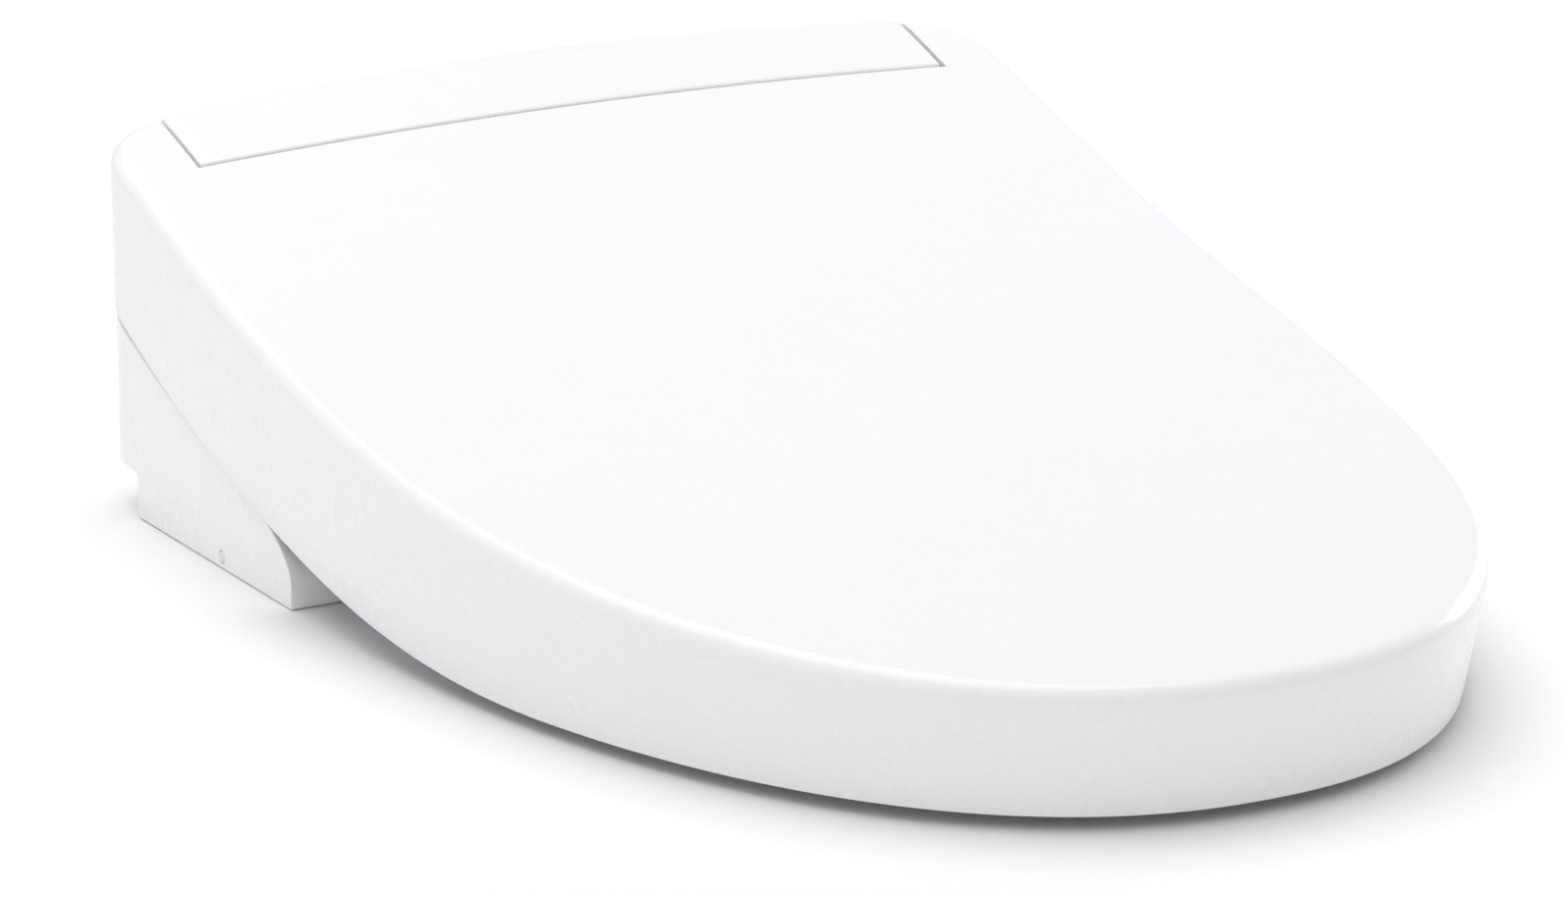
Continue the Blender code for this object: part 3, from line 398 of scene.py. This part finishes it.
def lid_rings(outline, wall):
    """Rings from the hem up over the rounded edge to the middle of the top."""
    middle_y = REAR_Y - WIDEST_D
    hem = inset(outline, lambda y: skirt_draft(y) + wall)
    lip = HEM_LIP if wall == 0 else -HEM_LIP
    rings = []
    for turn in (0, 45, 90):
        angle = math.radians(turn)
        shift = lip * (1 - math.sin(angle))
        ring = inset(outline, lambda y: skirt_draft(y) + wall + shift)
        rings.append([(x, y, hem_height(y) + abs(lip) * (1 - math.cos(angle))) for x, y in ring])
    radius = EDGE_R - wall if EDGE_R > wall + 1 else 1.0
    top = inset(outline, wall)
    for share in (0.25, 0.5, 0.75):
        ring = []
        for (hx, hy), (tx, ty) in zip(hem, top):
            x, y = hx + (tx - hx) * share, hy + (ty - hy) * share
            low, high = hem_height(hy), top_height(tx, ty) - wall - radius
            ring.append((x, y, low + (high - low) * share))
        rings.append(ring)
    for turn in range(0, 91, 10):
        angle = math.radians(turn)
        moved = inset(outline, wall + radius * (1 - math.cos(angle)))
        drop = wall + radius * (1 - math.sin(angle))
        rings.append([(x, y, top_height(x, y) - drop) for x, y in moved])
    inner = [(x, y) for x, y, _ in rings[-1]]
    for share in (0.985, 0.96, 0.92, 0.87, 0.8, 0.72, 0.63, 0.53, 0.42, 0.3, 0.17, 0.06):
        ring = [(x * share, middle_y + (y - middle_y) * share) for x, y in inner]
        rings.append([(x, y, top_height(x, y) - wall) for x, y in ring])
    rings.append([(0.0, middle_y, top_height(0.0, middle_y) - wall)])
    return rings


def edge_swing(x):
    y = REAR_Y - PANEL_D - PANEL_GAP
    return math.hypot(y - HINGE_Y, top_height(x, y) - HINGE_Z)


def build_lid():
    outline = mirrored(outline_half(70, 26))
    rings = lid_rings(outline, 0.0)[::-1] + lid_rings(outline, LID_WALL)
    lid = make("lid", loft(rings), "lid", "white_gloss", "lid_shell")
    half = PANEL_HALF + PANEL_GAP
    swing = []
    for i in range(17):
        x = half * (i / 8 - 1)
        reach = edge_swing(x)
        swing.append([(x, HINGE_Y + a * reach, HINGE_Z + b * reach) for a, b in circle(1.0, 120)])
    front = REAR_Y - PANEL_D - 0.4 * PANEL_GAP
    back, low, high = REAR_Y + 20, 40, 200
    notch = [(front, low), (back, low), (back, high), (front, high)]
    hub_back, hub_top = HINGE_Y + HORN_HUB_R, HINGE_Z + HORN_HUB_R + 0.5
    arm_room = [(hub_back, low), (back, low), (back, hub_top), (hub_back, hub_top)]
    arm_side = HORN_OUT + 0.5
    cut(lid, [loft(swing), prism(notch, 0.02 - half, half - 0.02), prism(arm_room, -arm_side, arm_side)])
    smooth(lid.data, sharp=32)
    return lid


# ---------------------------------------------------------------- fixed rear panel

def panel_section(x, wall, depth):
    front = REAR_Y - PANEL_D
    y0, y1 = front + wall, REAR_Y - wall
    radius = REAR_EDGE_R - wall * 0.8
    lip = PANEL_LIP
    points = [(x, y0, top_height(x, front) - depth)]
    for turn in (0, 30, 60, 90):
        angle = math.radians(turn)
        y = y0 + lip * (1 - math.cos(angle))
        points.append((x, y, top_height(x, y) - wall - lip * (1 - math.sin(angle))))
    for i in range(1, 12):
        y = y0 + lip + (y1 - radius - y0 - lip) * i / 12
        points.append((x, y, top_height(x, y) - wall))
    for turn in range(90, -1, -10):
        y = y1 - radius + radius * math.cos(math.radians(turn))
        drop = radius * (1 - math.sin(math.radians(turn)))
        points.append((x, y, top_height(x, y1 - radius) + (REAR_EDGE_R - wall) * 0.1 - wall - drop))
    points.append((x, y1, COVER_REAR_Z + GAP + PANEL_DEPTH - depth))
    return points


def build_panel():
    stations = [PANEL_HALF * (i / 20 - 1) for i in range(41)]
    outside = loft([panel_section(x, 0.0, PANEL_DEPTH) for x in stations])
    panel = make("top_panel", outside, "main_body", "white_gloss", "rear_top_panel")
    inner = [x * (1 - PANEL_WALL / PANEL_HALF) for x in stations]
    cut(panel, [loft([panel_section(x, PANEL_WALL, PANEL_DEPTH + 5) for x in inner])])
    return soften(panel, 0.8, 3, 50)


# ---------------------------------------------------------------- seat

SEAT_INSET = 8.5
SEAT_LIFT = 1.5
SEAT_DEPTH = 27.0
SEAT_BACK_Y = -99.0
SEAT_WALL = 3.0
OPENING_HALF = 105.0
OPENING_MIDDLE_Y = -272.5
OPENING_DEPTH_HALF = 122.5
OPENING_POWER = 2.3
SPOKE_SCALE = (180.0, 175.0)
GATE_HALF = 15.0
HORN_IN = 158.2
HORN_OUT = 165.8
HORN_HUB_R = 6.5
BUSH_R = 4.3


def seat_outline():
    """Clockwise plan outline of the seat ring with a straight back edge."""
    half = outline_half(90, 26) + [(-0.5, REAR_Y - DEPTH)]
    full = inset(half, lambda y: SEAT_INSET + skirt_draft(y))[:-1]
    corner_r = 16.0
    sides = [(x, y) for x, y in full if y < SEAT_BACK_Y - corner_r - 6]
    sides[-1] = (0.0, sides[-1][1])
    corner_x = sides[0][0] - corner_r
    corner_y = SEAT_BACK_Y - corner_r
    right = [(corner_x * i / 24, SEAT_BACK_Y) for i in range(24)]
    for turn in range(90, -1, -10):
        angle = math.radians(turn)
        right.append((corner_x + corner_r * math.cos(angle), corner_y + corner_r * math.sin(angle)))
    return mirrored(right + sides)


def opening_point(x, y):
    """The point of the opening's edge that faces this point of the outline."""
    angle = math.atan2((y - OPENING_MIDDLE_Y) / SPOKE_SCALE[1], x / SPOKE_SCALE[0])
    across, along = math.cos(angle), math.sin(angle)
    power = 2 / OPENING_POWER
    px = OPENING_HALF * math.copysign(abs(across) ** power, across)
    py = OPENING_DEPTH_HALF * math.copysign(abs(along) ** power, along)
    return px, OPENING_MIDDLE_Y + py


def seat_underside(y):
    return hem_height(y) + SEAT_LIFT


def rounded_path(corners, steps=4, share=0.42):
    """Round the inner corners of an open run of (share, offset, height) points."""
    path = [corners[0]]
    for before, here, after in zip(corners, corners[1:], corners[2:]):
        start = [h + (b - h) * share for h, b in zip(here, before)]
        end = [h + (a - h) * share for h, a in zip(here, after)]
        for i in range(steps + 1):
            t = i / steps
            path.append(tuple(
                s * (1 - t) ** 2 + 2 * h * t * (1 - t) + e * t * t for s, h, e in zip(start, here, end)
            ))
    return path + [corners[-1]]


def build_seat():
    top, wall = SEAT_DEPTH, SEAT_WALL
    outer = rounded_path([
        (0, 0.0, 0.0), (0, 0.0, top - 7.0), (0, 2.2, top - 1.6), (0, 10.0, top + 0.2), (0.4, 0.0, top + 0.6),
        (1, -17.0, top - 3.2), (1, -4.0, top - 7.0), (1, 0.0, top - 14.0), (1, 0.0, 2.0),
    ])
    inner = [
        (1, -wall, 2.0), (1, -wall - 1.0, top - 14.0), (1, -17.0, top - 3.2 - wall), (0.4, 0.0, top - wall),
        (0, 10.0, top - wall - 0.6), (0, wall + 1.0, top - 9.0), (0, wall, 0.0),
    ]
    sections = []
    for point in seat_outline():
        hole = opening_point(*point)
        span = math.dist(point, hole)
        ring = []
        for share, offset, height in outer + inner:
            t = share + offset / span
            x, y = (p + (h - p) * t for p, h in zip(point, hole))
            ring.append((x, y, seat_underside(y) + height))
        sections.append(ring)
    bm = loft(sections + sections[:1], cap_start=False, cap_end=False)
    bmesh.ops.remove_doubles(bm, verts=bm.verts, dist=1e-4)
    seat = make("seat", bm, "seat", "white_gloss", "seat_top")
    back_z = seat_underside(SEAT_BACK_Y)
    for sign in (-1, 1):
        low, high = sorted((sign * HORN_IN, sign * HORN_OUT))
        hub = [math.radians(turn) for turn in range(-75, 106, 10)]
        arm = [(HINGE_Y + HORN_HUB_R * math.cos(a), HINGE_Z + HORN_HUB_R * math.sin(a)) for a in hub]
        behind, within = SEAT_BACK_Y + 5.3, SEAT_BACK_Y - 10.7
        arm += [
            (behind, back_z + SEAT_DEPTH - 2.6), (within, back_z + SEAT_DEPTH - 4.3),
            (within, back_z + 4.4), (behind, back_z + 6.1),
        ]
        cut(seat, [prism(arm, low, high)], "UNION")
        cut(seat, [rod((sign * (HORN_IN - 2), HINGE_Y, HINGE_Z), (sign, 0, 0), BUSH_R + 0.2, 12)])
    cut(seat, [box((0, SEAT_BACK_Y - 14, 20), (2 * GATE_HALF + 20, 40, 34))])
    smooth(seat.data, sharp=38)
    return seat


# ---------------------------------------------------------------- body

BODY_HALF = 186.9
BODY_FRONT_Y = -92.0
BODY_STEP_Y = 37.4
STEP_Z = 17.0
CHAMFER_Y = 7.0
CHAMFER_Z = 30.0
CASE_WALL = 2.8
FLOOR_Z = 3.0
HEM_GAP = 1.5
HUMP_HALF = 154.0
FRONT_LIP_Z = 10.0
DECK_DROP = 7.0
GATE_Y = -86.5
GATE_Z = 30.0
DRYER_X = 52.0
DRYER_HALF = 20.0
WINDOW_X = 96.0
WINDOW_Y = -10.0
WINDOW_R = 9.0
WINDOW_AXIS = (0, -0.46, 0.888)
CASE_TOP_Y = -72.0
LIP_END_Y = -74.0
CHANNEL_Y = -84.0
# Holes in the lower case. Floor: x and radius. Rear wall: x, z, radius. Flanks: y, z, radius.
PLUMBING_Y = 54.0
INLET_AND_DRAIN = ((-136.0, 7.0), (-100.0, 3.4))
POWER_INLET = (140, 56, 7.0)
SIDE_PLUG = (-34.5, 4.2, 2.3)
BUTTONS = ((-22, 14, 5), (-44, 14, 5), (-70, 9, 6))
SCREW_X, SCREW_Y, SCREW_HOLE_R = (-144, 144), (-80, 26), 1.9


def case_top(drop, steps=40):
    """Side view of the body's upper edge, this far under the lid's hem."""
    stations = [CASE_TOP_Y + i * (REAR_Y + 1 - CASE_TOP_Y) / steps for i in range(steps + 1)]
    return [(y, hem_height(y) - drop) for y in stations]


def build_case():
    corner = []
    for turn in range(90, -1, -6):
        angle = math.radians(turn)
        x = BODY_HALF - CORNER_R + CORNER_R * math.cos(angle)
        corner.append((x, REAR_Y - GAP - CORNER_R + CORNER_R * math.sin(angle)))
    right = corner + [(BODY_HALF, BODY_FRONT_Y)]
    plan = right + [(-x, y) for x, y in right[::-1]]
    case = make("body_case", prism(plan, 0.0, 100.0, "Z"), "main_body", "white_gloss", "lower_case")
    curve = []
    lip_top = hem_height(LIP_END_Y) - HEM_GAP - 0.4
    for i in range(10):
        t = i / 9
        y = BODY_FRONT_Y * (1 - t) ** 2 + 2 * (BODY_FRONT_Y + 1.5) * t * (1 - t) + LIP_END_Y * t * t
        curve.append((y, FRONT_LIP_Z * (1 - t) ** 2 + 36.0 * t * (1 - t) + lip_top * t * t))
    above = [(BODY_FRONT_Y - 5, FRONT_LIP_Z)] + curve + case_top(HEM_GAP)
    above += [(REAR_Y + 1, CUT_TOP), (BODY_FRONT_Y - 5, CUT_TOP)]
    step = [
        (BODY_STEP_Y, -1), (BODY_STEP_Y, STEP_Z - 2),
        (BODY_STEP_Y + 0.6, STEP_Z - 0.6), (BODY_STEP_Y + 2, STEP_Z),
        (REAR_Y - CHAMFER_Y, STEP_Z + 1), (REAR_Y + 0.5, CHAMFER_Z),
        (REAR_Y + 5, CHAMFER_Z), (REAR_Y + 5, -1),
    ]
    cut(case, [prism(above, -CUT_SIDE, CUT_SIDE), prism(step, -CUT_SIDE, CUT_SIDE)])
    soften(case, 1.2, 3, 40)
    side = HUMP_HALF + CASE_WALL + GAP
    end = REAR_Y - CASE_WALL - 1
    pocket_end = BODY_STEP_Y - CASE_WALL
    for sign in (-1, 1):
        low, high = sorted((sign * side, sign * (BODY_HALF - CASE_WALL)))
        deck = case_top(DECK_DROP)
        channel = [(CHANNEL_Y, 30.0), (CHANNEL_Y, 19.0)] + deck[:-1]
        channel += [(end, deck[-1][1]), (end, CUT_TOP), (CHANNEL_Y, CUT_TOP)]
        under = [point for point in case_top(DECK_DROP + CASE_WALL) if point[0] < pocket_end - 2]
        pocket = [(BODY_FRONT_Y + CASE_WALL, -1), (BODY_FRONT_Y + CASE_WALL, 6.0)] + under
        pocket += [(pocket_end, under[-1][1] + 1.0), (pocket_end, -1)]
        cut(case, [prism(channel, low, high), prism(pocket, low, high)])
    floor = FLOOR_Z + CASE_WALL
    front = BODY_FRONT_Y + CASE_WALL
    inside = [
        (front, floor), (BODY_STEP_Y - 4, floor), (BODY_STEP_Y - 4, STEP_Z + 4), (REAR_Y - 12, STEP_Z + 5),
        (REAR_Y - GAP - CASE_WALL, CHAMFER_Z + 6), (REAR_Y - GAP - CASE_WALL, CUT_TOP), (front, CUT_TOP),
    ]
    under = [(front + 2, -1), (pocket_end - 2, -1), (pocket_end - 2, FLOOR_Z), (front + 2, FLOOR_Z)]
    half = HUMP_HALF + GAP
    cut(case, [prism(inside, -half, half), prism(under, -HUMP_HALF + 1, HUMP_HALF - 1)])
    holes = [rod((x, PLUMBING_Y, 10), (0, 0, 1), r + GAP, 30) for x, r in INLET_AND_DRAIN]
    x, z, r = POWER_INLET
    holes.append(rod((x, REAR_Y - 10, z), (0, 1, 0), r + GAP, 20))
    y, z, r = SIDE_PLUG
    holes.append(rod((-BODY_HALF - 2, y, z), (1, 0, 0), r + GAP, 9))
    holes += [rod((BODY_HALF + 3, y, z), (-1, 0, 0), r + GAP, 9) for y, z, r in BUTTONS]
    holes += [rod((x, y, 0), (0, 0, 1), SCREW_HOLE_R, 9, 16) for x in SCREW_X for y in SCREW_Y]
    for x, w in ((0, GATE_HALF), (DRYER_X, DRYER_HALF)):
        holes.append(box((x, BODY_FRONT_Y, 29.5), (2 * w + 1.2, 30, 40)))
    cut(case, holes)
    smooth(case.data, sharp=30)
    return case


def hump_profile(wall):
    """Side view of the front cover, or of its hollow this far inside it."""
    front = BODY_FRONT_Y + CASE_WALL + GAP + wall
    low = FRONT_LIP_Z + GAP
    panel_front = REAR_Y - PANEL_D
    return [
        (front, low), (front, 33.0 - wall * 0.6), (front + 12, 52.0 - wall), (-50.0, 70.0 - wall),
        (panel_front - 2, 114.0 - wall), (panel_front + 8 + wall * 0.4, 119.5 - wall),
        (REAR_Y - 1.5 - wall, COVER_REAR_Z - wall), (REAR_Y - 1.5 - wall, low),
    ]


def hump_top(y):
    profile = hump_profile(0.0)
    for (ay, az), (by, bz) in zip(profile, profile[1:]):
        if ay <= y <= by and by > ay:
            return az + (bz - az) * (y - ay) / (by - ay)
    return profile[0][1]


def build_cover():
    block = prism(hump_profile(0.0), -HUMP_HALF, HUMP_HALF)
    cover = make("front_cover", block, "main_body", "white_gloss", "upper_case")
    soften(cover, 2.0, 4, 8)
    hollow = hump_profile(CASE_WALL)
    hollow[0] = (hollow[0][0], -20.0)
    hollow[-1] = (hollow[-1][0], -20.0)
    below = [(BODY_FRONT_Y + 10, -5), (-81.0, 21.0)] + case_top(HEM_GAP - GAP) + [(REAR_Y + 5, -5)]
    inside, beyond = HUMP_HALF - CASE_WALL, HUMP_HALF + 5
    cut(cover, [prism(hollow, -inside, inside), prism(below, -beyond, beyond)])
    cut(cover, [
        box((0, GATE_Y, GATE_Z - 9.05), (2 * GATE_HALF + 1.2, 16, 22.9)),
        box((DRYER_X, GATE_Y, GATE_Z - 8.5), (DRYER_HALF * 2 + 1.2, 16, 20)),
        rod((WINDOW_X, WINDOW_Y + 4, hump_top(WINDOW_Y) - 8), WINDOW_AXIS, WINDOW_R + GAP, 20),
    ])
    for sign in (-1, 1):
        cut(cover, [rod((sign * (HUMP_HALF - 10), HINGE_Y, HINGE_Z), (sign, 0, 0), 3.3, 20)])
    smooth(cover.data, sharp=30)
    return cover


# ---------------------------------------------------------------- carried-over parts

def dress_frame():
    """Give each CAD node that stays in sight the procedural material of its slot."""
    slots = {part["node"]: part["material_slot"] for part in frame["record"]["subparts"]}
    for name, obj in frame["nodes"].items():
        material = MATERIALS[slots[name]]
        if not obj.material_slots:
            obj.data.materials.append(material)
        for place in obj.material_slots:
            place.material = material


# ---------------------------------------------------------------- studio

CAMERA_PLACE = (-1.3443, -2.5148, 0.8600)
CAMERA_AZIMUTH = math.radians(-29.29)
CAMERA_ELEVATION = math.radians(16.62)
LENS = 181.0
FLOOR_HALF = 12.0
FLOOR_DROP = 0.0005
LIGHT_AIM = (0, -0.2, 0.05)
LIGHTS = (  # name, place, side in metres, watts
    ("overhead", (-0.3, 0.4, 2.4), 2.4, 34.5),
    ("left_soft", (-2.6, -0.9, 0.9), 1.6, 3.5),
    ("right_rear", (2.2, 0.5, 0.4), 1.2, 16.0),
)
SKY_DIM_SIDE = (-0.75, 0.66, 0.0)
SKY_BRIGHT = 0.66
SKY_DIM = 0.60


def build_camera():
    data = bpy.data.cameras.new("camera")
    data.sensor_width = 36.0
    data.lens = LENS
    data.clip_end = 50.0
    camera = bpy.data.objects.new("camera", data)
    bpy.context.scene.collection.objects.link(camera)
    away = Vector((
        -math.sin(CAMERA_AZIMUTH) * math.cos(CAMERA_ELEVATION),
        math.cos(CAMERA_AZIMUTH) * math.cos(CAMERA_ELEVATION),
        -math.sin(CAMERA_ELEVATION),
    ))
    camera.location = CAMERA_PLACE
    camera.rotation_euler = away.to_track_quat("-Z", "Y").to_euler()
    bpy.context.scene.camera = camera


def area_light(name, place, side, power):
    data = bpy.data.lights.new(name, "AREA")
    data.shape = "RECTANGLE"
    data.size = data.size_y = side
    data.energy = power
    light = bpy.data.objects.new(name, data)
    light.location = place
    light.rotation_euler = (Vector(LIGHT_AIM) - Vector(place)).to_track_quat("-Z", "Y").to_euler()
    bpy.context.scene.collection.objects.link(light)


def build_studio():
    mesh = bpy.data.meshes.new("floor")
    floor_z = cad_box[0][2] - FLOOR_DROP
    corners = [(x * FLOOR_HALF, y * FLOOR_HALF, floor_z) for x, y in ((-1, -1), (1, -1), (1, 1), (-1, 1))]
    mesh.from_pydata(corners, [], [(0, 1, 2, 3)])
    floor = bpy.data.objects.new("floor", mesh)
    bpy.context.scene.collection.objects.link(floor)
    made, tree, shader = new_material("studio_floor", (0.95, 0.95, 0.955), 0.8)
    tint(tree, shader, noise(tree, 2.0), (0.95, 0.95, 0.955), (0.94, 0.94, 0.945))
    floor.data.materials.append(made)
    world = bpy.data.worlds.new("studio")
    world.use_nodes = True
    sky = world.node_tree
    background = sky.nodes["Background"]
    background.inputs["Color"].default_value = (1.0, 1.0, 1.0, 1.0)
    place = sky.nodes.new("ShaderNodeTexCoord")
    toward = sky.nodes.new("ShaderNodeVectorMath")
    toward.operation = "DOT_PRODUCT"
    toward.inputs[1].default_value = SKY_DIM_SIDE
    fade = sky.nodes.new("ShaderNodeMapRange")
    fade.inputs["From Min"].default_value = -0.2
    fade.inputs["From Max"].default_value = 0.75
    fade.inputs["To Min"].default_value = SKY_BRIGHT
    fade.inputs["To Max"].default_value = SKY_DIM
    sky.links.new(place.outputs["Generated"], toward.inputs[0])
    sky.links.new(toward.outputs["Value"], fade.inputs["Value"])
    sky.links.new(fade.outputs["Result"], background.inputs["Strength"])
    bpy.context.scene.world = world
    for light in LIGHTS:
        area_light(*light)
    bpy.context.scene.view_settings.view_transform = "Standard"


dress_frame()
build_lid()
build_panel()
build_seat()
build_case()
build_cover()
build_camera()
build_studio()
